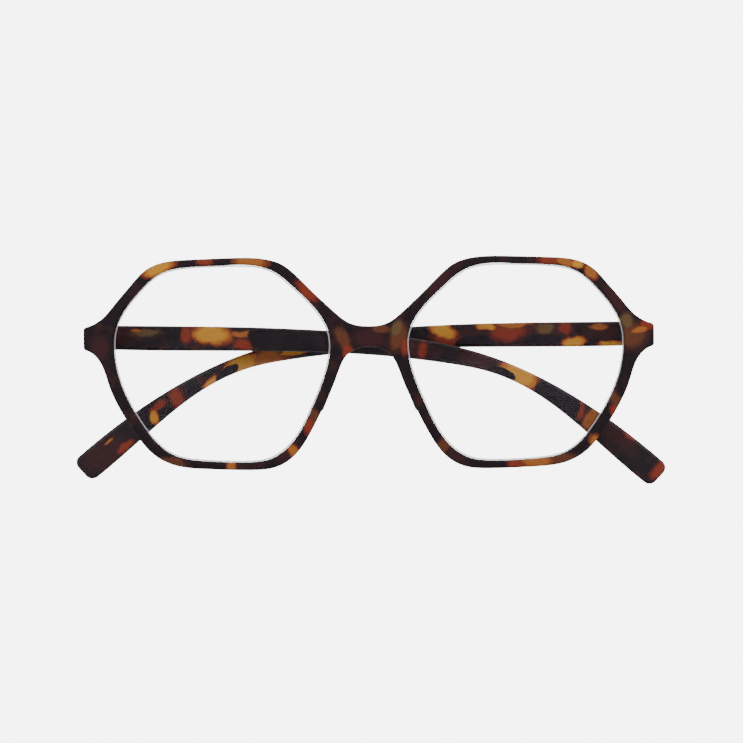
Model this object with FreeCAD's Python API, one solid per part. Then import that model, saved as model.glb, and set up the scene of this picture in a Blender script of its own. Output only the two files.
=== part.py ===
"""Folding reading glasses: moulded front, two lenses, two temples on metal spring hinges.

Row frame, millimetres: +X towards the wearer's left, +Y backwards, +Z up. The origin is the middle
of the bridge's lower edge. Both temples are folded behind the front, the right one first.
"""
import FreeCAD, Part
import math
import os

os.makedirs("parts", exist_ok=True)
Vector = FreeCAD.Vector
X_AXIS = Vector(1, 0, 0)
Y_AXIS = Vector(0, 1, 0)
Z_AXIS = Vector(0, 0, 1)
SIDES = ("right", "left")
NEAR = 0.01
OVERCUT = 1.0

# Front: a slab between two spheres that share one centre behind the wearer's nose
FRONT_FACE_RADIUS = 260.0
FRONT_THICKNESS = 4.0
FRONT_EDGE_ROUND = 0.5
CURVE_CENTRE = Vector(0, FRONT_FACE_RADIUS - FRONT_THICKNESS / 2, 0)
SLAB_DEPTHS = (-4.0, 18.0)
CUT_DEPTHS = (-6.0, 20.0)

# Half of the front's outline, x and z from the bridge's middle, above and below the end piece
UPPER_EDGE = [
    (0.0, 5.0), (4.6, 5.8), (8.5, 8.7), (13.2, 13.1), (18.0, 17.9), (20.8, 20.1), (24.5, 21.4),
    (34.0, 21.9), (44.5, 21.6), (50.5, 20.95), (54.2, 19.4), (58.7, 14.9), (62.1, 11.0),
    (65.0, 7.7), (67.2, 6.2), (70.0, 5.25),
]
LOWER_EDGE = [
    (0.0, 0.0), (3.0, -0.5), (5.1, -1.7), (6.6, -3.9), (8.3, -8.3), (10.9, -14.0), (15.0, -21.9),
    (18.8, -26.8), (22.5, -29.0), (29.0, -29.8), (40.0, -29.5), (48.0, -28.45), (52.8, -25.9),
    (57.0, -21.1), (60.9, -15.0), (63.7, -9.0), (65.6, -3.7), (67.2, -1.6), (70.0, -0.15),
]
END_PIECE_X = 70.0
END_PIECE_ROUND = 0.9

# Lens opening of the left rim, clockwise from the middle of its top edge
LENS_OPENING = [
    (34.5, 20.2), (45.5, 19.75), (51.3, 18.2), (56.2, 14.0), (60.2, 9.0), (62.3, 4.2), (62.5, -1.5),
    (61.2, -7.8), (57.9, -15.1), (53.6, -21.5), (48.3, -26.0), (41.0, -27.55), (31.5, -27.95),
    (23.7, -26.9), (18.4, -22.7), (13.55, -14.0), (9.9, -4.0), (9.5, 2.8), (12.0, 8.1), (18.6, 15.0),
    (23.6, 18.8),
]
OFFSET_STEPS = 60

# Lens: meniscus with a tongue in the rim's groove
LENS_CENTRE = (36.0, -4.0)
LENS_FRONT_RADIUS = 150.0
LENS_BACK_RADIUS = 330.0
LENS_SETBACK = 0.5
LENS_MIDDLE_THICKNESS = 2.6
LENS_GAP = 0.03
TONGUE_HEIGHT = 0.6
TONGUE_SETBACK = 1.5
TONGUE_THICKNESS = 1.2

# Nose pads, moulded on the back of the rims
PAD_LENGTH = 13.0
PAD_WIDTH = 2.5
PAD_DEPTH = 5.4
PAD_MIDDLE = (10.3, 1.0, -9.6)
PAD_TILT = 22.0
PAD_ROUND = 1.1

# Hinge, measured from its axis: u outwards, v backwards and w up with the temple open
HINGE_X = 64.9
HINGE_Y = 13.5
HINGE_Z = 2.9
KNUCKLE_RADIUS = 1.3
KNUCKLE_RELIEF = 1.45
FRONT_KNUCKLE = (0.8, 2.0)
SLIDER_KNUCKLE_HALF = 0.75
SHANK_RADIUS = 0.6
SHANK_GAP = 0.05
SCREW_HEAD_RADIUS = 1.0
SCREW_HEAD_HEIGHT = 0.4
SCREW_TAIL = 0.2
SCREW_SLOT = (0.3, 0.25)
SCREW_SLOT_REACH = 2.0
LEAF_THICKNESS = 1.2
LEAF_PLATE = (-2.4, -1.5)
LEAF_STEM_END = -5.4
LEAF_STEM_HALF = 1.2
BARB_HEIGHT = 0.3
BARB_LENGTH = 1.0
BARB_GAP = 0.3
BLOCK_STEP_U = 1.5
BLOCK_EDGE_ROUND = 0.4
END_BLOCK_IN = -2.2
END_BLOCK_Z = (-0.35, 5.45)
END_BLOCK_ROOT = -5.0
STEP_HALF_HEIGHT = 8.0

# Temple, along its length from the hinge axis
TEMPLE_INNER = 0.9
TEMPLE_ROOT_THICKNESS = 4.2
TEMPLE_TIP_THICKNESS = 3.0
TEMPLE_START = 0.08
TEMPLE_TOP = [(0.0, 3.0), (40.0, 2.5), (60.0, 1.5), (78.0, -0.35), (95.4, -4.6), (116.0, -14.5)]
TEMPLE_BOTTOM = [
    (0.0, -2.95), (40.0, -3.25), (65.0, -4.1), (85.0, -6.3), (95.4, -8.5), (105.8, -13.3),
    (116.0, -20.8),
]
TEMPLE_TIP_TOP = (138.9, -31.6)
TEMPLE_TIP_BOTTOM = (134.4, -36.5)
TIP_CORNER_RADIUS = 2.0
TEMPLE_EDGE_ROUND = 0.7
TEMPLE_RISE = {"right": -0.57, "left": 0.33}
FOLD_ANGLE = {"right": 91.5, "left": 87.5}
WEDGE_SIZE = (10.0, 200.0, 100.0)
TRIM_HALF_HEIGHT = 10.0
TRIM_REACH = 8.0
NECK_GAP = 0.1
OUTER_SKIN = 0.4
KNUCKLE_END_GAP = 0.3

# Spring hinge inside the temple, v ranges from the hinge axis
CASE_SECTION = (1.7, 4.3, 1.5)
CASE_SPAN = (2.0, 13.0)
NECK_U = (-0.5, 3.8)
NECK_V = (0.75, 1.9)
SLIDER_U = (2.2, 3.8)
SLIDER_HALF = 0.9
SLIDER_END = 5.0
SLIDER_GAP = 0.05
POCKET_END = 6.0
PARTITION_END = 7.0
PIN_RADIUS = 0.35
PIN_START = 3.0
PIN_HEAD_RADIUS = 0.85
PIN_HEAD = (11.4, 12.0)
SPRING_BORE_RADIUS = 1.0
SPRING_RADIUS = 0.72
SPRING_WIRE_RADIUS = 0.14
SPRING_TURNS = 7


def outline_point(x, z):
    return Vector(x, 0, z)


def curve(points):
    """Smooth open curve through a list of x, z points in the plane y = 0."""
    spline = Part.BSplineCurve()
    spline.interpolate([outline_point(x, z) for x, z in points])
    return spline.toShape()


def mirrored(shape):
    return shape.mirror(Vector(0, 0, 0), X_AXIS)


def prism(wire, depths):
    """Extrude a wire that lies in the plane y = 0 between two depths."""
    y_low, y_high = depths
    face = Part.Face(wire)
    face.translate(Vector(0, y_low, 0))
    return face.extrude(Vector(0, y_high - y_low, 0))


def ball(setback):
    """Ball whose surface is a given distance behind the front face."""
    return Part.makeSphere(FRONT_FACE_RADIUS - setback, CURVE_CENTRE, Z_AXIS, -90, 90, 360)


def shell(setback, thickness):
    return ball(setback).cut(ball(setback + thickness))


def box(u_range, v_range, w_range):
    """Box in the hinge's own u, v, w directions."""
    size = [high - low for low, high in (u_range, v_range, w_range)]
    return Part.makeBox(*size, Vector(u_range[0], v_range[0], w_range[0]))


def post(radius, w_range):
    """Upright cylinder on the hinge axis."""
    return Part.makeCylinder(radius, w_range[1] - w_range[0], Vector(0, 0, w_range[0]), Z_AXIS)


def rod(radius, v_range):
    """Cylinder along the temple, in the middle of the spring case."""
    middle = (CASE_SECTION[0] + CASE_SECTION[1]) / 2
    return Part.makeCylinder(radius, v_range[1] - v_range[0], Vector(middle, v_range[0], 0), Y_AXIS)


def both_ways(w_range):
    return [w_range, (-w_range[1], -w_range[0])]


def place(shape, side, fold=0.0):
    """Move a hinge shape, made for the left side with its temple open, to its side of the front."""
    placed = shape.copy()
    placed.rotate(Vector(0, 0, 0), Z_AXIS, fold)
    placed.translate(Vector(HINGE_X, HINGE_Y, HINGE_Z))
    if side == "right":
        placed = mirrored(placed)
    return placed


def front_prism(depths):
    """The front's whole outline, extruded, with rounded end piece corners."""
    edges = []
    for half in (UPPER_EDGE, LOWER_EDGE):
        other_half = [(-x, z) for x, z in reversed(half[1:])]
        edges.append(curve(other_half + half))
    for x in (-END_PIECE_X, END_PIECE_X):
        top = outline_point(x, UPPER_EDGE[-1][1])
        bottom = outline_point(x, LOWER_EDGE[-1][1])
        edges.append(Part.LineSegment(top, bottom).toShape())
    solid = prism(Part.Wire(Part.__sortEdges__(edges)), depths)
    corners = [e for e in solid.Edges if abs(e.BoundBox.Center.x) > END_PIECE_X - NEAR]
    corners = [e for e in corners if e.BoundBox.YLength > FRONT_THICKNESS]
    return solid.makeFillet(END_PIECE_ROUND, corners)


def lens_wire(offset=0.0):
    """Edge of the left lens opening, moved outwards by offset along its own normals."""
    edge = Part.BSplineCurve()
    edge.interpolate(Points=[outline_point(x, z) for x, z in LENS_OPENING], PeriodicFlag=True)
    if offset:
        step = (edge.LastParameter - edge.FirstParameter) / OFFSET_STEPS
        moved = []
        for count in range(OFFSET_STEPS):
            where = edge.FirstParameter + count * step
            outward = edge.tangent(where)[0].cross(Y_AXIS)
            moved.append(edge.value(where) + outward * offset)
        edge = Part.BSplineCurve()
        edge.interpolate(Points=moved, PeriodicFlag=True)
    return Part.Wire([edge.toShape()])


def nose_pad():
    """Rounded bar on the back of the left rim, beside the nose."""
    half_run = PAD_LENGTH / 2 - PAD_WIDTH / 2
    ends = [Vector(0, 0, -half_run), Vector(0, 0, half_run)]
    bars = [Part.makeCylinder(PAD_WIDTH / 2, PAD_DEPTH, end, Y_AXIS) for end in ends]
    web = Part.makeBox(PAD_WIDTH, PAD_DEPTH, 2 * half_run, Vector(-PAD_WIDTH / 2, 0, -half_run))
    pad = web.fuse(bars).removeSplitter()
    rear_edges = [e for e in pad.Edges if e.BoundBox.YMin > PAD_DEPTH - NEAR]
    pad = pad.makeFillet(PAD_ROUND, rear_edges)
    pad.rotate(Vector(0, 0, 0), Y_AXIS, -PAD_TILT)
    pad.translate(Vector(*PAD_MIDDLE))
    return pad


def hinge_leaf():
    """Two knuckles on a plate, with a barbed stem that is sunk in the end piece."""
    half = LEAF_THICKNESS / 2
    u_range = (-half, half)
    leaf = box(u_range, LEAF_PLATE, (-FRONT_KNUCKLE[1], FRONT_KNUCKLE[1]))
    stem = box(u_range, (LEAF_STEM_END, LEAF_PLATE[0]), (-LEAF_STEM_HALF, LEAF_STEM_HALF))
    pieces = [stem]
    for w_range in both_ways(FRONT_KNUCKLE):
        pieces.append(post(KNUCKLE_RADIUS, w_range))
        pieces.append(box(u_range, (LEAF_PLATE[1], -SHANK_RADIUS), w_range))
    for barb_end in (LEAF_STEM_END + BARB_LENGTH, LEAF_STEM_END + 2 * BARB_LENGTH + BARB_GAP):
        reach = LEAF_STEM_HALF + BARB_HEIGHT
        corners = [
            Vector(-half, barb_end - BARB_LENGTH, 0), Vector(-half, barb_end, reach),
            Vector(-half, barb_end, -reach),
        ]
        outline = Part.makePolygon(corners + corners[:1])
        pieces.append(Part.Face(outline).extrude(Vector(LEAF_THICKNESS, 0, 0)))
    return leaf.fuse(pieces).removeSplitter()


def front_frame():
    """Both rims, bridge, end pieces and nose pads, moulded in one piece."""
    slab = front_prism(SLAB_DEPTHS).common(shell(0.0, FRONT_THICKNESS))
    opening = prism(lens_wire(), CUT_DEPTHS)
    groove = prism(lens_wire(TONGUE_HEIGHT), CUT_DEPTHS).common(shell(TONGUE_SETBACK, TONGUE_THICKNESS))
    slab = slab.cut([opening, mirrored(opening)])
    slab = slab.cut([groove, mirrored(groove)])
    frame = slab.makeFillet(FRONT_EDGE_ROUND, [edge for edge in slab.Edges if on_rim(edge)])
    for piece in (nose_pad(), end_block()):
        for one_side in (piece, mirrored(piece)):
            frame = frame.fuse(one_side)
    leaf = hinge_leaf()
    return frame.cut([place(leaf, side) for side in SIDES])


def on_rim(edge):
    """True for an edge that runs along the slab's front or back face."""
    middle = edge.valueAt((edge.FirstParameter + edge.LastParameter) / 2)
    setback = FRONT_FACE_RADIUS - middle.distanceToPoint(CURVE_CENTRE)
    return setback < NEAR or setback > FRONT_THICKNESS - NEAR


def end_block():
    """Rearward block of the left end piece, with a step in it for the hinge's knuckles."""
    reach = END_PIECE_X - HINGE_X + OVERCUT
    w_range = (END_BLOCK_Z[0] - HINGE_Z, END_BLOCK_Z[1] - HINGE_Z)
    block = box((END_BLOCK_IN, reach), (END_BLOCK_ROOT, 0.0), w_range)
    step_u = (END_BLOCK_IN - OVERCUT, BLOCK_STEP_U)
    step = box(step_u, (LEAF_PLATE[1], OVERCUT), (-STEP_HALF_HEIGHT, STEP_HALF_HEIGHT))
    block = place(block.cut(step), "left")
    block = block.common(front_prism((0.0, SLAB_DEPTHS[1])))
    rear_edges = [e for e in block.Edges if e.BoundBox.YMin > HINGE_Y - NEAR]
    return block.makeFillet(BLOCK_EDGE_ROUND, rear_edges)


def lens():
    """Left lens: a steeper front curve than back curve, so it is thickest in the middle."""
    x, z = LENS_CENTRE
    outward = Vector(x, -math.sqrt(FRONT_FACE_RADIUS ** 2 - x ** 2 - z ** 2), z).normalize()
    apex = CURVE_CENTRE + outward * (FRONT_FACE_RADIUS - LENS_SETBACK)
    back_apex = apex - outward * LENS_MIDDLE_THICKNESS
    front_ball = Part.makeSphere(LENS_FRONT_RADIUS, apex - outward * LENS_FRONT_RADIUS)
    back_ball = Part.makeSphere(LENS_BACK_RADIUS, back_apex - outward * LENS_BACK_RADIUS)
    disc = prism(lens_wire(-LENS_GAP), CUT_DEPTHS).common(front_ball).cut(back_ball)
    tongue = prism(lens_wire(TONGUE_HEIGHT - LENS_GAP), CUT_DEPTHS)
    tongue = tongue.common(shell(TONGUE_SETBACK + LENS_GAP, TONGUE_THICKNESS - 2 * LENS_GAP))
    return disc.fuse(tongue).removeSplitter()


def leaf_with_bores():
    """Leaf with a running bore in its upper knuckle and the screw's tapped hole in its lower one."""
    leaf = hinge_leaf()
    high = FRONT_KNUCKLE[1]
    leaf = leaf.cut(post(SHANK_RADIUS + SHANK_GAP, (0.0, high + OVERCUT)))
    leaf = leaf.cut(post(SHANK_RADIUS, (-high - OVERCUT, 0.0)))
    return leaf.cut(screw_head())


def screw_head():
    low = FRONT_KNUCKLE[1] - SCREW_HEAD_HEIGHT
    return Part.makeCone(SHANK_RADIUS, SCREW_HEAD_RADIUS, SCREW_HEAD_HEIGHT, Vector(0, 0, low))


def hinge_screw():
    top = FRONT_KNUCKLE[1]
    screw = post(SHANK_RADIUS, (-top - SCREW_TAIL, top)).fuse(screw_head())
    width, depth = SCREW_SLOT
    v_range = (-SCREW_SLOT_REACH, SCREW_SLOT_REACH)
    slot = box((-width / 2, width / 2), v_range, (top - depth, top + OVERCUT))
    return screw.cut(slot).removeSplitter()


def hinge_slider():
    """Single knuckle, its neck, and the square block that slides in the spring case."""
    knuckle_range = (-SLIDER_KNUCKLE_HALF, SLIDER_KNUCKLE_HALF)
    neck = box(NECK_U, NECK_V, knuckle_range)
    block = box(SLIDER_U, (NECK_V[1] - 0.5, SLIDER_END), (-SLIDER_HALF, SLIDER_HALF))
    slider = post(KNUCKLE_RADIUS, knuckle_range).fuse([neck, block])
    bore_range = (-SLIDER_KNUCKLE_HALF - OVERCUT, SLIDER_KNUCKLE_HALF + OVERCUT)
    slider = slider.cut(post(SHANK_RADIUS + SHANK_GAP, bore_range))
    return slider.cut(rod(PIN_RADIUS, (PIN_START, SLIDER_END + OVERCUT))).removeSplitter()


def guide_pin():
    return rod(PIN_RADIUS, (PIN_START, PIN_HEAD[1])).fuse(rod(PIN_HEAD_RADIUS, PIN_HEAD)).removeSplitter()


def case_block():
    inner, outer, half = CASE_SECTION
    return box((inner, outer), CASE_SPAN, (-half, half))


def spring_case():
    """Square tube with a partition: the slider runs in front of it, the spring sits behind it."""
    half = SLIDER_HALF + SLIDER_GAP
    pocket_u = (SLIDER_U[0] - SLIDER_GAP, SLIDER_U[1] + SLIDER_GAP)
    pocket = box(pocket_u, (CASE_SPAN[0] - OVERCUT, POCKET_END), (-half, half))
    pin_hole = rod(PIN_RADIUS + SLIDER_GAP, (POCKET_END - OVERCUT, PARTITION_END + OVERCUT))
    spring_bore = rod(SPRING_BORE_RADIUS, (PARTITION_END, CASE_SPAN[1] + OVERCUT))
    return case_block().cut([pocket, pin_hole, spring_bore])


def flex_spring():
    """Coil spring between the case's partition and the guide pin's head."""
    low = PARTITION_END + SPRING_WIRE_RADIUS
    run = PIN_HEAD[0] - PARTITION_END - 2 * SPRING_WIRE_RADIUS
    helix = Part.makeHelix(run / SPRING_TURNS, run, SPRING_RADIUS)
    section = Part.Circle(Vector(SPRING_RADIUS, 0, 0), Y_AXIS, SPRING_WIRE_RADIUS).toShape()
    spring = Part.Wire(helix.Edges).makePipeShell([Part.Wire([section])], True, True)
    spring.rotate(Vector(0, 0, 0), X_AXIS, -90)
    spring.translate(Vector((CASE_SECTION[0] + CASE_SECTION[1]) / 2, low, 0))
    return spring


def temple(side):
    """Side arm: straight at the root, narrow at its neck, turned down to a square tip."""
    top = curve_along(TEMPLE_TOP + [TEMPLE_TIP_TOP])
    bottom = curve_along(TEMPLE_BOTTOM + [TEMPLE_TIP_BOTTOM])
    corners = [TEMPLE_TIP_TOP, TEMPLE_TIP_BOTTOM]
    tip = Part.makePolygon([Vector(TEMPLE_INNER, v, w) for v, w in corners])
    ends = [TEMPLE_BOTTOM[0], TEMPLE_TOP[0]]
    root = Part.makePolygon([Vector(TEMPLE_INNER, v, w) for v, w in ends])
    outline = Part.Wire(Part.__sortEdges__([top, tip.Edges[0], bottom, root.Edges[0]]))
    arm = Part.Face(outline).extrude(Vector(TEMPLE_ROOT_THICKNESS, 0, 0))
    arm = arm.makeFillet(TIP_CORNER_RADIUS, [e for e in arm.Edges if is_tip_corner(e)])
    thinning = TEMPLE_ROOT_THICKNESS - TEMPLE_TIP_THICKNESS
    wedge = Part.makeBox(*WEDGE_SIZE, Vector(0, 0, -WEDGE_SIZE[2] / 2))
    wedge.rotate(Vector(0, 0, 0), Z_AXIS, math.degrees(math.atan2(thinning, TEMPLE_TIP_TOP[0])))
    wedge.translate(Vector(TEMPLE_INNER + TEMPLE_ROOT_THICKNESS, 0, 0))
    arm = arm.cut(wedge)
    long_edges = [e for e in arm.Edges if e.BoundBox.XLength < TEMPLE_TIP_THICKNESS - OVERCUT]
    long_edges = [e for e in long_edges if e.BoundBox.YMax > OVERCUT]
    arm = arm.makeFillet(TEMPLE_EDGE_ROUND, long_edges)
    arm.rotate(Vector(0, 0, 0), X_AXIS, TEMPLE_RISE[side])
    slot_half = SLIDER_HALF + NECK_GAP
    slot_u = (0.0, CASE_SECTION[1] - OUTER_SKIN)
    neck_slot = box(slot_u, (-OVERCUT, CASE_SPAN[0]), (-slot_half, slot_half))
    relief_half = FRONT_KNUCKLE[1] + KNUCKLE_END_GAP
    relief = post(KNUCKLE_RELIEF, (-relief_half, relief_half))
    trim_v = (-OVERCUT, TEMPLE_START)
    end_trim = box((-OVERCUT, TRIM_REACH), trim_v, (-TRIM_HALF_HEIGHT, TRIM_HALF_HEIGHT))
    return arm.cut([neck_slot, relief, end_trim, case_block()])


def curve_along(points):
    """Smooth curve through a list of v, w points on the temple's inner face."""
    spline = Part.BSplineCurve()
    spline.interpolate(Points=[Vector(TEMPLE_INNER, v, w) for v, w in points])
    return spline.toShape()


def is_tip_corner(edge):
    if edge.BoundBox.XLength < TEMPLE_TIP_THICKNESS:
        return False
    return edge.BoundBox.YMin > TEMPLE_TIP_BOTTOM[0] - NEAR


def save(node, shape):
    shape.exportStep("parts/" + node + ".step")
    print(node, "valid", shape.isValid(), "solids", len(shape.Solids), "volume", round(shape.Volume, 2))


save("front_frame", front_frame())
left_lens = lens()
lenses = {"left": left_lens, "right": mirrored(left_lens)}
for side_name in SIDES:
    fold = FOLD_ANGLE[side_name]
    save(side_name + "_lens", lenses[side_name])
    save(side_name + "_front_hinge_leaf", place(leaf_with_bores(), side_name))
    save(side_name + "_hinge_screw", place(hinge_screw(), side_name))
    save(side_name + "_hinge_slider", place(hinge_slider(), side_name, fold))
    save(side_name + "_guide_pin", place(guide_pin(), side_name, fold))
    save(side_name + "_spring_case", place(spring_case(), side_name, fold))
    save(side_name + "_flex_spring", place(flex_spring(), side_name, fold))
    save(side_name + "_temple", place(temple(side_name), side_name, fold))
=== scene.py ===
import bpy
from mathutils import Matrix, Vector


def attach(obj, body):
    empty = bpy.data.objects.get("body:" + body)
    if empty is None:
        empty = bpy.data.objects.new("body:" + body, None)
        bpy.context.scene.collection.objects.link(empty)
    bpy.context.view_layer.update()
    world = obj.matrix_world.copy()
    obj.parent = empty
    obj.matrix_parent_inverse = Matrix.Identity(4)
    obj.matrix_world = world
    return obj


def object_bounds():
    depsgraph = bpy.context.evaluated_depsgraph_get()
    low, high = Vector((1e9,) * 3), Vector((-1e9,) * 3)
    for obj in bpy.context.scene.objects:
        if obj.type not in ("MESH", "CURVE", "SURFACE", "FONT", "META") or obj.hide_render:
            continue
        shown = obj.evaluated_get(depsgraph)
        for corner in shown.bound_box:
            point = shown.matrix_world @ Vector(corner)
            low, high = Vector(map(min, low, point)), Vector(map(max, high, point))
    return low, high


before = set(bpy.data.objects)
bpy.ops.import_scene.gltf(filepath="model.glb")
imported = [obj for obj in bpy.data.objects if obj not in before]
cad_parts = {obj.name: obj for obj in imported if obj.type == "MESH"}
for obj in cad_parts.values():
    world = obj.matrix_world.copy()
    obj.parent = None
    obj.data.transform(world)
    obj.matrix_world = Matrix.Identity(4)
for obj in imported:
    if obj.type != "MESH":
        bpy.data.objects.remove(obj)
cad_box = [list(corner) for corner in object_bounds()]

import math

import bpy
import numpy as np
from mathutils import Matrix, Vector


# ---------------------------------------------------------------- camera, light and floor
# The glasses stand upright on a white paper sweep, under broad, soft studio light. The camera looks
# straight at the front from 0.8 m, a little below the middle of the lenses. Lengths here are in metres.
CAMERA_DISTANCE = 0.80
CAMERA_HEIGHT = -0.0060
CAMERA_SIDESTEP = 0.0006
VIEW_WIDTH = 0.1805
CAMERA_ROLL = -math.radians(0.46)
NEAREST_SEEN = 0.01
FARTHEST_SEEN = 20.0

camera_data = bpy.data.cameras.new("studio_camera")
camera_data.lens = camera_data.sensor_width * CAMERA_DISTANCE / VIEW_WIDTH
camera_data.clip_start = NEAREST_SEEN
camera_data.clip_end = FARTHEST_SEEN
camera = bpy.data.objects.new("studio_camera", camera_data)
bpy.context.scene.collection.objects.link(camera)
camera.location = (CAMERA_SIDESTEP, -CAMERA_DISTANCE, CAMERA_HEIGHT)
upright = Matrix.Rotation(math.radians(90), 4, "X")
camera.rotation_euler = (upright @ Matrix.Rotation(CAMERA_ROLL, 4, "Z")).to_euler()
bpy.context.scene.camera = camera


def linear(hex_colour):
    """An sRGB hex colour such as 'c58a2e' as the linear red, green, blue and alpha that a shader takes."""
    parts = np.array([int(hex_colour[i : i + 2], 16) / 255 for i in (0, 2, 4)])
    parts = np.where(parts <= 0.04045, parts / 12.92, ((parts + 0.055) / 1.055) ** 2.4)
    return (*parts.tolist(), 1.0)


def add(tree, kind, settings=None, **links):
    """Add a shader node. settings are its properties and its plain input values; links are inputs
    fed by other nodes' outputs, with each input named by its place: in0, in1 and so on."""
    node = tree.nodes.new(kind)
    for key, value in (settings or {}).items():
        if isinstance(key, str) and hasattr(node, key):
            setattr(node, key, value)
        else:
            node.inputs[key].default_value = value
    for place, source in links.items():
        tree.links.new(source, node.inputs[int(place[2:])])
    return node


def new_material(name):
    """A material with an empty node tree, and that tree."""
    material = bpy.data.materials.new(name)
    material.use_nodes = True
    material.node_tree.nodes.clear()
    return material, material.node_tree


def finish_material(tree, shader):
    """Send a shader to the material's surface."""
    output = add(tree, "ShaderNodeOutputMaterial")
    tree.links.new(shader.outputs[0], output.inputs["Surface"])


FLOOR_FRONT = -2.2
FLOOR_LENGTH = 3.0
CORNER_RADIUS = 0.8
WALL_HEIGHT = 2.5
FLOOR_SHARE = 0.3
CORNER_SHARE = 0.4
SWEEP_ROWS = 60
SWEEP_COLUMNS = 5
SWEEP_HALF_WIDTH = 3.0
FLOOR_GAP = 0.0002
PAPER_BRIGHTNESS = 6.5
ROOM_BRIGHTNESS = 0.10


def sweep_points():
    """Floor and backdrop: a straight run back, a quarter circle up, and a straight wall. One parameter
    runs along that profile, the other across the width."""
    along = np.linspace(0, 1, SWEEP_ROWS)
    run = np.minimum(along / FLOOR_SHARE, 1)
    turn = np.clip((along - FLOOR_SHARE) / CORNER_SHARE, 0, 1) * math.pi / 2
    wall_start = FLOOR_SHARE + CORNER_SHARE
    rise = np.clip((along - wall_start) / (1 - wall_start), 0, 1)
    back = FLOOR_FRONT + FLOOR_LENGTH * run + CORNER_RADIUS * np.sin(turn)
    floor = cad_box[0][2] - FLOOR_GAP
    up = floor + CORNER_RADIUS * (1 - np.cos(turn)) + WALL_HEIGHT * rise
    across = np.linspace(-SWEEP_HALF_WIDTH, SWEEP_HALF_WIDTH, SWEEP_COLUMNS)
    grid_y, grid_x = np.meshgrid(back, across, indexing="ij")
    grid_z = np.broadcast_to(up[:, None], grid_x.shape)
    return np.stack([grid_x, grid_y, grid_z], axis=-1)


def grid_mesh(name, points, closed=False):
    """A mesh object from a rows x columns grid of points, one quad between each four neighbours. A closed
    grid joins its last row and column to its first."""
    rows, columns = points.shape[:2]
    index = np.arange(rows * columns).reshape(rows, columns)
    right = np.roll(index, -1, axis=1)
    quads = np.stack([index, right, np.roll(right, -1, axis=0), np.roll(index, -1, axis=0)], axis=-1)
    if not closed:
        quads = quads[:-1, :-1]
    quads = quads.reshape(-1, 4)
    mesh = bpy.data.meshes.new(name)
    mesh.from_pydata(points.reshape(-1, 3).tolist(), [], quads.tolist())
    mesh.polygons.foreach_set("use_smooth", np.ones(len(mesh.polygons), bool))
    made = bpy.data.objects.new(name, mesh)
    bpy.context.scene.collection.objects.link(made)
    return made


# White seamless paper, lit so strongly that the camera sees it almost pure white
sweep = grid_mesh("white_sweep", sweep_points())
paper, tree = new_material("white seamless paper")
lit = add(tree, "ShaderNodeBsdfPrincipled", {"Base Color": linear("fafafa"), "Roughness": 0.9})
bright = add(tree, "ShaderNodeEmission", {"Strength": PAPER_BRIGHTNESS})
path = add(tree, "ShaderNodeLightPath")
overexposed = add(
    tree, "ShaderNodeMixShader", in0=path.outputs["Is Camera Ray"], in1=lit.outputs[0],
    in2=bright.outputs[0],
)
finish_material(tree, overexposed)
sweep.data.materials.append(paper)

world = bpy.data.worlds.new("soft_studio")
bpy.context.scene.world = world
world.use_nodes = True
room = world.node_tree.nodes["Background"]
room.inputs["Color"].default_value = linear("ffffff")
room.inputs["Strength"].default_value = ROOM_BRIGHTNESS


def soft_box(name, place, size, power):
    """A square area light at a place, turned to face the glasses."""
    light = bpy.data.lights.new(name, "AREA")
    light.size = size
    light.energy = power
    lamp = bpy.data.objects.new(name, light)
    lamp.location = place
    lamp.rotation_euler = (-Vector(place)).to_track_quat("-Z", "Y").to_euler()
    bpy.context.scene.collection.objects.link(lamp)


soft_box("key_left", (-0.9, -1.1, 0.9), 0.9, 16.0)
soft_box("key_right", (0.9, -1.1, 0.9), 0.9, 16.0)
soft_box("top_fill", (0.0, 0.2, 1.4), 1.2, 12.0)


# ---------------------------------------------------------------- tortoiseshell plastic
# Front and temples are moulded from marbled cellulose plastic: honey and amber clouds with red edges
# in a near-black brown, tumbled to a satin finish. A cloud shows the same colour right through the part.
# Each cloud is a warped ellipse, in millimetres: x, z, half width, half height and tilt in degrees.
MM = 0.001
MM_PER_M = 1 / MM
BROWN_BLACK = "1a1117"
WISP_RED = "40201b"
CLOUD_COLOURS = {
    # from a cloud's edge to its middle, as the translucent plastic gets clearer
    "maroon": [(0.0, "1e1218"), (0.5, "26151a"), (1.0, "34191c")],
    "umber": [(0.0, "22141a"), (0.5, "361c19"), (1.0, "56301f")],
    "red": [(0.0, "2a1218"), (0.45, "521d19"), (1.0, "742c1b")],
    "amber": [(0.0, "2a151a"), (0.45, "5e2b1b"), (1.0, "935524")],
    "honey": [(0.0, "34161a"), (0.35, "6a2a1a"), (0.60, "98561f"), (1.0, "b47c28")],
    "olive": [(0.0, "241619"), (0.5, "3f2b20"), (1.0, "59432a")],
    "dark": [(0.0, "2b191d"), (0.4, "1f151b"), (1.0, BROWN_BLACK)],
}
CLOUD_REACH = 1.15
CLOUD_STEEPNESS = 1.7
DARK_STEEPNESS = 4.0
COVERING_DEPTH = 0.30


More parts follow.
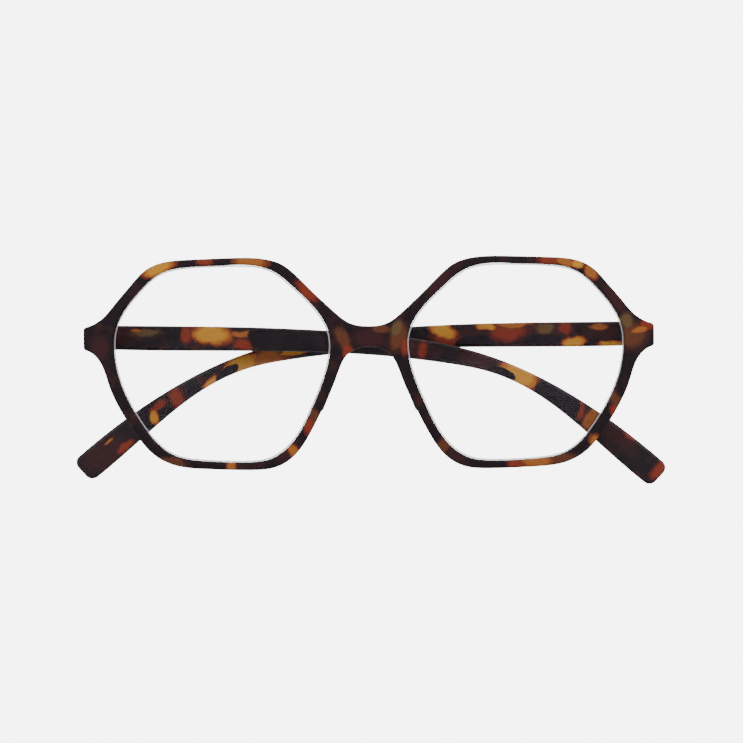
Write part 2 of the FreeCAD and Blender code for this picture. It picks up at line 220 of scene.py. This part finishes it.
def cloud_layer(tree, place, wander, colour, kind, clouds):
    """Lay one kind of cloud over the colour so far. A point's depth in a cloud is the cloud's reach less
    the point's distance from its middle in half sizes, times a steepness. The deepest cloud counts, and
    depth picks the colour."""
    deepest = None
    for x, z, half_width, half_height, tilt in clouds:
        mapping = add(tree, "ShaderNodeMapping", {"vector_type": "TEXTURE"}, in0=place)
        mapping.inputs["Location"].default_value = (x, 0.0, z)
        mapping.inputs["Rotation"].default_value = (0.0, -math.radians(tilt), 0.0)
        mapping.inputs["Scale"].default_value = (half_width, MM_PER_M, half_height)
        away = add(tree, "ShaderNodeVectorMath", {"operation": "LENGTH"}, in0=mapping.outputs[0])
        depth = add(
            tree, "ShaderNodeMath", {"operation": "SUBTRACT", 0: CLOUD_REACH}, in1=away.outputs["Value"]
        )
        if deepest:
            depth = add(
                tree, "ShaderNodeMath", {"operation": "MAXIMUM"}, in0=deepest.outputs[0],
                in1=depth.outputs[0],
            )
        deepest = depth
    steepness = DARK_STEEPNESS if kind == "dark" else CLOUD_STEEPNESS
    scaled = add(tree, "ShaderNodeMath", {"operation": "MULTIPLY", 1: steepness}, in0=deepest.outputs[0])
    uneven = add(tree, "ShaderNodeMath", {"operation": "ADD"}, in0=scaled.outputs[0], in1=wander)
    tone = add(tree, "ShaderNodeValToRGB", in0=uneven.outputs[0])
    stops = CLOUD_COLOURS[kind]
    ramp = tone.color_ramp
    for _ in range(len(stops) - 2):
        ramp.elements.new(0.5)
    for element, (position, hex_colour) in zip(ramp.elements, stops):
        element.position = position
        element.color = linear(hex_colour)
    cover = add(
        tree, "ShaderNodeMapRange", {"interpolation_type": "SMOOTHSTEP", 1: 0.0, 2: COVERING_DEPTH},
        in0=uneven.outputs[0],
    )
    # a clear cloud's dark edge doesn't darken a clear cloud next to it, but a dark cloud hides both
    blend = "MIX" if kind == "dark" else "LIGHTEN"
    mix = add(
        tree, "ShaderNodeMix", {"data_type": "RGBA", "blend_type": blend}, in0=cover.outputs[0],
        in6=colour, in7=tone.outputs[0],
    )
    return mix.outputs[2]


# Sizes of the patterns in the plastic, in millimetres, and how strongly each one acts. The orange peel
# of the skin is 0.2 mm across, too fine to show, and isn't drawn.
SWIRL_MM = 5.0
WISP_MM = 4.0
STREAK_MM = 1.25
SPOT_MM = 3.0
STREAK_DEPTH = 0.16
WISP_STARTS = 0.50
WISP_FULL = 0.82
SPOT_SHINIER = 0.05
SPOT_DULLER = 0.07
# inputs 1 and 2 of a Map Range, between which most of a noise's values lie
NOISE_RANGE = {1: 0.3, 2: 0.7}


def tortoiseshell(name, layers, flow_mm, roughness, gloss):
    """Marbled plastic: clouds at their places, wisps and pigment streaks between them, and a tumbled skin
    whose roughness varies a little."""
    material, tree = new_material(name)
    coordinates = add(tree, "ShaderNodeTexCoord").outputs["Object"]
    place = add(tree, "ShaderNodeVectorMath", {"operation": "SCALE"}, in0=coordinates)
    place.inputs["Scale"].default_value = MM_PER_M
    # the melt was stirred: every edge wanders by flow_mm, in swirls
    flow = add(
        tree, "ShaderNodeTexNoise", {"Scale": 1 / SWIRL_MM, "Detail": 3.0, "Roughness": 0.55},
        in0=place.outputs[0],
    )
    centred = add(
        tree, "ShaderNodeVectorMath", {"operation": "SUBTRACT", 1: (0.5, 0.5, 0.5)},
        in0=flow.outputs["Color"],
    )
    amount = add(tree, "ShaderNodeVectorMath", {"operation": "SCALE"}, in0=centred.outputs[0])
    amount.inputs["Scale"].default_value = 2 * flow_mm
    warped = add(
        tree, "ShaderNodeVectorMath", {"operation": "ADD"}, in0=place.outputs[0], in1=amount.outputs[0]
    )
    # the ground: brown-black with dark red wisps
    wisps = add(
        tree, "ShaderNodeTexNoise", {"Scale": 1 / WISP_MM, "Detail": 4.0, "Roughness": 0.6},
        in0=warped.outputs[0],
    )
    ground = add(tree, "ShaderNodeValToRGB", in0=wisps.outputs["Fac"])
    low, high = ground.color_ramp.elements
    low.position = WISP_STARTS
    low.color = linear(BROWN_BLACK)
    high.position = WISP_FULL
    high.color = linear(WISP_RED)
    # pigment streaks make a cloud's depth uneven
    streaks = add(
        tree, "ShaderNodeTexNoise", {"Scale": 1 / STREAK_MM, "Detail": 4.0, "Roughness": 0.62},
        in0=warped.outputs[0],
    )
    wander = add(
        tree, "ShaderNodeMapRange", {**NOISE_RANGE, 3: -STREAK_DEPTH, 4: STREAK_DEPTH},
        in0=streaks.outputs["Fac"],
    )
    colour = ground.outputs["Color"]
    for kind, clouds in layers.items():
        colour = cloud_layer(tree, warped.outputs[0], wander.outputs[0], colour, kind, clouds)
    # tumbled skin: some spots came out of the tumbler duller than others
    spots = add(tree, "ShaderNodeTexNoise", {"Scale": 1 / SPOT_MM, "Detail": 2.0}, in0=place.outputs[0])
    rough = add(
        tree, "ShaderNodeMapRange",
        {**NOISE_RANGE, 3: roughness - SPOT_SHINIER, 4: roughness + SPOT_DULLER},
        in0=spots.outputs["Fac"],
    )
    shader = add(tree, "ShaderNodeBsdfPrincipled", {"IOR": 1.5, "Specular IOR Level": gloss})
    tree.links.new(colour, shader.inputs["Base Color"])
    tree.links.new(rough.outputs[0], shader.inputs["Roughness"])
    finish_material(tree, shader)
    return material


def dress(node_name, material):
    """Give a piece from the frame one material, in place of its own."""
    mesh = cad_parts[node_name].data
    mesh.materials.clear()
    mesh.materials.append(material)


FRONT_CLOUDS = {
    "maroon": [
        (17.0, 16.0, 5.0, 2.4, 44), (-66.0, 0.0, 3.0, 4.0, 0), (-20.0, -25.0, 4.0, 3.0, 40),
        (20.0, -27.0, 5.0, 2.6, -30), (0.0, 2.0, 5.0, 3.0, 0), (60.0, 12.0, 2.4, 5.0, 30),
    ],
    "umber": [
        (3.0, 4.4, 3.0, 1.2, 0), (7.4, 2.0, 2.4, 4.0, -20), (-6.4, 1.9, 1.8, 3.6, 25),
        (-13.4, -17.0, 1.7, 3.6, 25), (18.0, -24.0, 1.6, 3.0, -32), (-48.0, -28.0, 4.0, 1.6, -12),
        (46.0, -28.0, 6.0, 1.8, 6), (64.6, 2.6, 4.4, 4.0, 0), (60.6, -14.0, 1.8, 4.4, 28),
    ],
    "red": [
        (-14.8, 13.6, 3.6, 1.6, -44), (-40.0, 21.2, 2.4, 1.4, 0), (44.8, 20.8, 3.8, 2.0, -4),
        (9.2, 0.2, 1.2, 2.6, -20), (-14.6, -19.4, 1.7, 3.4, 25), (60.4, -16.6, 1.4, 2.2, 25),
        (68.2, 4.9, 2.0, 1.4, 0), (36.0, -28.8, 2.8, 1.4, 0), (-5.0, -1.4, 1.6, 2.4, 20),
    ],
    "amber": [
        (-18.2, -25.4, 1.5, 2.6, 38), (-33.8, -28.8, 1.4, 1.5, 0), (40.8, -28.4, 4.2, 1.5, 2),
        (55.2, -23.4, 1.7, 2.0, 42), (66.4, 3.7, 2.6, 1.0, 12), (54.4, 17.8, 2.4, 1.5, -48),
        (48.0, 20.6, 2.4, 1.6, -10), (-28.6, 20.8, 4.6, 1.7, -6),
    ],
    "honey": [(-51.4, 19.4, 4.6, 2.0, 24), (51.0, 20.0, 1.8, 1.3, -20)],
    "olive": [(63.0, 6.2, 2.2, 2.4, 25), (6.8, 4.4, 1.7, 2.4, -15)],
}
RIGHT_TEMPLE_CLOUDS = {
    "maroon": [
        (-60.0, 3.6, 6.0, 3.0, 0), (12.0, -0.8, 6.0, 3.4, -8), (28.0, -3.6, 8.0, 3.4, -18),
        (62.0, -22.0, 6.0, 3.6, -40),
    ],
    "red": [
        (-45.4, 3.4, 1.8, 2.4, 0), (13.2, -0.9, 1.5, 2.4, 0), (51.8, -15.0, 1.5, 3.8, 10),
        (71.4, -30.6, 1.7, 3.4, -40), (64.4, -22.0, 2.4, 1.4, -40), (-31.0, 0.8, 3.0, 1.6, -10),
    ],
    "amber": [(54.6, -18.0, 1.8, 4.0, -30), (-57.6, 4.6, 1.8, 0.7, 0), (-31.4, 3.4, 3.4, 0.9, 4)],
    "honey": [(-38.8, 3.4, 5.4, 2.9, -8), (37.2, -7.2, 5.6, 3.2, -28)],
    "olive": [(-55.4, 4.0, 4.4, 1.2, 2)],
    "dark": [
        (32.6, -6.6, 3.2, 1.2, -22), (46.4, -13.4, 5.6, 4.4, -38), (-47.9, 2.0, 1.0, 3.4, 0),
        (-20.4, 1.8, 8.4, 4.6, -3),
    ],
}
LEFT_TEMPLE_CLOUDS = {
    "maroon": [
        (42.0, 3.0, 12.0, 3.4, 0), (26.0, 2.0, 10.0, 3.6, 0), (-43.0, -10.0, 5.0, 4.0, 36),
        (58.0, 3.4, 5.0, 3.4, 0), (-66.0, -26.0, 7.0, 5.0, 38),
    ],
    "red": [
        (48.6, 4.8, 1.8, 1.8, 0), (21.6, 0.8, 6.6, 2.0, -12), (-48.0, -12.2, 2.0, 3.0, 20),
        (-52.6, -14.2, 2.8, 1.3, 38), (-61.0, -24.4, 2.8, 1.2, 38), (34.8, 3.4, 5.2, 2.2, 8),
        (-22.4, -2.2, 3.6, 1.8, 12),
    ],
    "amber": [
        (-25.4, -2.7, 5.8, 2.6, 14), (36.0, 5.4, 5.0, 1.0, 2), (-65.0, -22.8, 1.4, 0.4, 38),
        (57.0, 4.6, 2.6, 1.0, 0),
    ],
    "honey": [
        (59.8, 0.2, 3.6, 1.0, 3), (50.6, 0.8, 3.4, 1.9, 10), (18.6, 3.8, 3.6, 2.0, -12),
        (-31.8, -4.0, 5.2, 2.6, 26), (-39.4, -8.2, 2.4, 1.3, 50), (-53.4, -16.8, 1.3, 2.2, 10),
        (-18.6, -0.9, 4.4, 0.8, 8), (29.4, 4.8, 3.0, 1.1, -6),
    ],
    "olive": [(43.6, 4.4, 3.2, 1.4, 0)],
    "dark": [
        (-35.4, -6.6, 3.4, 1.4, 42), (-57.0, -18.4, 2.4, 2.3, 38), (-43.6, -10.0, 1.9, 2.6, 30),
        (26.4, 0.6, 4.6, 2.0, 0), (42.8, 1.4, 4.6, 1.4, 6),
    ],
}
# the front's faces are dull from the tumbler; the temples rub on cloth and hands and have more shine
dress("front_frame", tortoiseshell("tumbled tortoiseshell plastic, front", FRONT_CLOUDS, 1.0, 0.50, 0.12))
for side, layers in (("right", RIGHT_TEMPLE_CLOUDS), ("left", LEFT_TEMPLE_CLOUDS)):
    plastic = tortoiseshell("tumbled tortoiseshell plastic, " + side + " temple", layers, 1.2, 0.44, 0.22)
    dress(side + "_temple", plastic)


# ---------------------------------------------------------------- lenses
# Clear cast plastic lenses with polished, anti-reflection coated faces. The rim of each back face is
# ground to a bevel and left matt, so it shows as a pale lilac line inside the plastic rim.
COATED_REFLECTION = 0.004
GRAZING_REFLECTION = 0.5


def coated_lens_plastic():
    """Thin-pane glass: straight through, with a mirror share that climbs with the fifth power of how far
    the face turns away, from the coating's value to the grazing value."""
    material, tree = new_material("cast lens plastic, polished and coated")
    turned = add(tree, "ShaderNodeLayerWeight", {"Blend": 0.5})
    steep = add(tree, "ShaderNodeMath", {"operation": "POWER", 1: 5.0}, in0=turned.outputs["Facing"])
    mirror_share = add(
        tree, "ShaderNodeMapRange", {3: COATED_REFLECTION, 4: GRAZING_REFLECTION}, in0=steep.outputs[0]
    )
    # only what looks at the lens sees it mirror, so it throws no stray light on the temples behind it
    path = add(tree, "ShaderNodeLightPath")
    mirror_share = add(
        tree, "ShaderNodeMath", {"operation": "MULTIPLY"}, in0=mirror_share.outputs[0],
        in1=path.outputs["Is Camera Ray"],
    )
    through = add(tree, "ShaderNodeBsdfTransparent", {"Color": linear("fdfdfe")})
    mirror = add(tree, "ShaderNodeBsdfGlossy", {"Color": linear("f2f4ff"), "Roughness": 0.03})
    shader = add(
        tree, "ShaderNodeMixShader", in0=mirror_share.outputs[0], in1=through.outputs[0],
        in2=mirror.outputs[0],
    )
    finish_material(tree, shader)
    return material


clear = coated_lens_plastic()
for side in ("right", "left"):
    dress(side + "_lens", clear)

# The left rim's opening, x and z in millimetres, clockwise as seen from the front, from the middle of
# its top. The other lengths of the bevel are in millimetres too.
RIM_OPENING = [
    (34.5, 20.2), (45.5, 19.75), (51.3, 18.2), (56.2, 14.0), (60.2, 9.0), (62.3, 4.2), (62.5, -1.5),
    (61.2, -7.8), (57.9, -15.1), (53.6, -21.5), (48.3, -26.0), (41.0, -27.55), (31.5, -27.95),
    (23.7, -26.9), (18.4, -22.7), (13.55, -14.0), (9.9, -4.0), (9.5, 2.8), (12.0, 8.1), (18.6, 15.0),
    (23.6, 18.8),
]
BEVEL_WIDTH = 0.42
BEVEL_HEIGHT = 0.30
BEVEL_INSET = 0.05
BEVEL_SINK = 0.02
BEVEL_STEPS = 420
FRONT_RADIUS = 260.0
FRONT_HALF_THICKNESS = 2.0
LENS_BACK_RADIUS = 330.0
LENS_MIDDLE = (36.0, -4.0)
LENS_MIDDLE_BACK = 3.1


def closed_curve(points, steps):
    """Smooth closed curve through the points: on each span a cubic in the chord length, whose slopes m at
    the points make its curvature continuous, which is one linear equation in m for each point."""
    points = np.array(points)
    chord = np.linalg.norm(np.roll(points, -1, axis=0) - points, axis=1)
    count = len(points)
    rows = np.arange(count)
    before, after = chord[rows - 1], chord
    system = np.zeros((count, count))
    system[rows, rows - 1] = after
    system[rows, rows] = 2 * (before + after)
    system[rows, (rows + 1) % count] = before
    rise = (np.roll(points, -1, axis=0) - points) / chord[:, None]
    pull = 3 * (after[:, None] * np.roll(rise, 1, axis=0) + before[:, None] * rise)
    slopes = np.linalg.solve(system, pull)
    ends = np.concatenate([[0.0], np.cumsum(chord)])
    along = np.linspace(0, ends[-1], steps, endpoint=False)
    span = np.clip(np.searchsorted(ends, along, side="right") - 1, 0, count - 1)
    t = ((along - ends[span]) / chord[span])[:, None]
    following = (span + 1) % count
    reach = chord[span][:, None]
    return (
        (1 + 2 * t) * (1 - t) ** 2 * points[span] + t * (1 - t) ** 2 * reach * slopes[span]
        + t ** 2 * (3 - 2 * t) * points[following] + t ** 2 * (t - 1) * reach * slopes[following]
    )


def lens_back(x, z):
    """Depth of the lens's back face: a sphere about a point on the line from the middle of the front's
    curve through the middle of the lens."""
    centre = np.array([0.0, FRONT_RADIUS - FRONT_HALF_THICKNESS, 0.0])
    middle_x, middle_z = LENS_MIDDLE
    outward = np.array([middle_x, -math.sqrt(FRONT_RADIUS ** 2 - middle_x ** 2 - middle_z ** 2), middle_z])
    outward /= FRONT_RADIUS
    ball = centre + outward * (FRONT_RADIUS - LENS_MIDDLE_BACK - LENS_BACK_RADIUS)
    return ball[1] - np.sqrt(LENS_BACK_RADIUS ** 2 - (x - ball[0]) ** 2 - (z - ball[2]) ** 2)


def ground_bevel(name, sign):
    """Ring on the back of a lens: a three-cornered section carried round the opening, with its corners at
    the rim just in the lens, at the rim and proud of the face, and one bevel width inwards in the lens."""
    edge = closed_curve(RIM_OPENING, BEVEL_STEPS)
    along = np.roll(edge, -1, axis=0) - np.roll(edge, 1, axis=0)
    inward = np.stack([along[:, 1], -along[:, 0]], axis=1) / np.linalg.norm(along, axis=1)[:, None]
    corners = ((BEVEL_INSET, -BEVEL_SINK), (BEVEL_INSET, BEVEL_HEIGHT), (BEVEL_WIDTH, -BEVEL_SINK))
    rings = []
    for step_in, proud in corners:
        at = edge + inward * step_in
        depth = lens_back(at[:, 0], at[:, 1]) + proud
        rings.append(np.stack([sign * at[:, 0], depth, at[:, 1]], axis=1))
    # mirroring turns the faces over, so one side takes its rings in the opposite order
    return grid_mesh(name, np.stack(rings[::sign], axis=0) * MM, closed=True)


SCRATCH_MM = 0.25
GROUND_ROUGH_LOW = 0.5
GROUND_ROUGH_HIGH = 0.8


def ground_plastic():
    """Lens plastic left matt by the grinding wheel: nearly white, with fine scratches. Real scratches are
    about 0.05 mm wide, drawn coarser so that they show."""
    material, tree = new_material("ground lens plastic")
    coordinates = add(tree, "ShaderNodeTexCoord").outputs["Object"]
    scratches = add(
        tree, "ShaderNodeTexNoise", {"Scale": 1 / (SCRATCH_MM * MM), "Detail": 2.0}, in0=coordinates
    )
    rough = add(
        tree, "ShaderNodeMapRange", {**NOISE_RANGE, 3: GROUND_ROUGH_LOW, 4: GROUND_ROUGH_HIGH},
        in0=scratches.outputs["Fac"],
    )
    tone = add(tree, "ShaderNodeValToRGB", in0=scratches.outputs["Fac"])
    tone.color_ramp.elements[0].color = linear("d9d2df")
    tone.color_ramp.elements[1].color = linear("fbf8fd")
    shader = add(tree, "ShaderNodeBsdfPrincipled", {"IOR": 1.5, "Alpha": 0.6})
    tree.links.new(tone.outputs[0], shader.inputs["Base Color"])
    tree.links.new(rough.outputs[0], shader.inputs["Roughness"])
    finish_material(tree, shader)
    return material


frosted = ground_plastic()
for side, sign in (("right", -1), ("left", 1)):
    ring = ground_bevel(side + "_lens_bevel", sign)
    ring.data.materials.append(frosted)
    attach(ring, "front")


# ---------------------------------------------------------------- spring hinges
# Nickel-silver leaf and slider, stamped and tumbled; drawn steel case; turned steel screw and pin;
# the spring is drawn music wire. All are bare metal.
GRAIN_DEPTH_MM = 0.02
GRAIN_SHINIER = 0.06
GRAIN_DULLER = 0.10
GRAIN_DARKEST = 0.88


def bare_metal(name, colour, roughness, grain_mm, stretch):
    """Bare metal whose tone, roughness and height follow a fine grain, stretched by a factor per axis."""
    material, tree = new_material(name)
    coordinates = add(tree, "ShaderNodeTexCoord").outputs["Object"]
    mapping = add(tree, "ShaderNodeMapping", in0=coordinates)
    scale = 1.0 / (grain_mm * MM)
    mapping.inputs["Scale"].default_value = tuple(scale / factor for factor in stretch)
    grain = add(tree, "ShaderNodeTexNoise", {"Scale": 1.0, "Detail": 3.0}, in0=mapping.outputs[0])
    rough = add(
        tree, "ShaderNodeMapRange",
        {**NOISE_RANGE, 3: roughness - GRAIN_SHINIER, 4: roughness + GRAIN_DULLER},
        in0=grain.outputs["Fac"],
    )
    tone = add(
        tree, "ShaderNodeMapRange", {**NOISE_RANGE, 3: GRAIN_DARKEST, 4: 1.0}, in0=grain.outputs["Fac"]
    )
    tint = add(tree, "ShaderNodeMix", {"data_type": "RGBA", "blend_type": "MULTIPLY"})
    tint.inputs["Factor"].default_value = 1.0
    tint.inputs[6].default_value = linear(colour)
    tree.links.new(tone.outputs[0], tint.inputs[7])
    bump = add(tree, "ShaderNodeBump", {"Strength": 0.1, "Distance": GRAIN_DEPTH_MM * MM})
    tree.links.new(grain.outputs["Fac"], bump.inputs["Height"])
    shader = add(tree, "ShaderNodeBsdfPrincipled", {"Metallic": 1.0})
    tree.links.new(tint.outputs[2], shader.inputs["Base Color"])
    tree.links.new(rough.outputs[0], shader.inputs["Roughness"])
    tree.links.new(bump.outputs[0], shader.inputs["Normal"])
    finish_material(tree, shader)
    return material


METALS = {
    "front_hinge_leaf": bare_metal("tumbled nickel silver leaf", "cfc7b8", 0.28, 0.15, (1, 1, 1)),
    "hinge_slider": bare_metal("tumbled nickel silver slider", "cdc6ba", 0.26, 0.15, (1, 1, 1)),
    "spring_case": bare_metal("drawn steel case", "c2c3c4", 0.30, 0.12, (8, 1, 1)),
    "hinge_screw": bare_metal("turned steel screw", "d0d0d2", 0.20, 0.08, (1, 1, 0.3)),
    "guide_pin": bare_metal("turned steel pin", "d0d0d2", 0.22, 0.08, (1, 1, 1)),
    "flex_spring": bare_metal("music wire", "a9aaad", 0.24, 0.06, (1, 1, 1)),
}
for side in ("right", "left"):
    for part, metal in METALS.items():
        dress(side + "_" + part, metal)
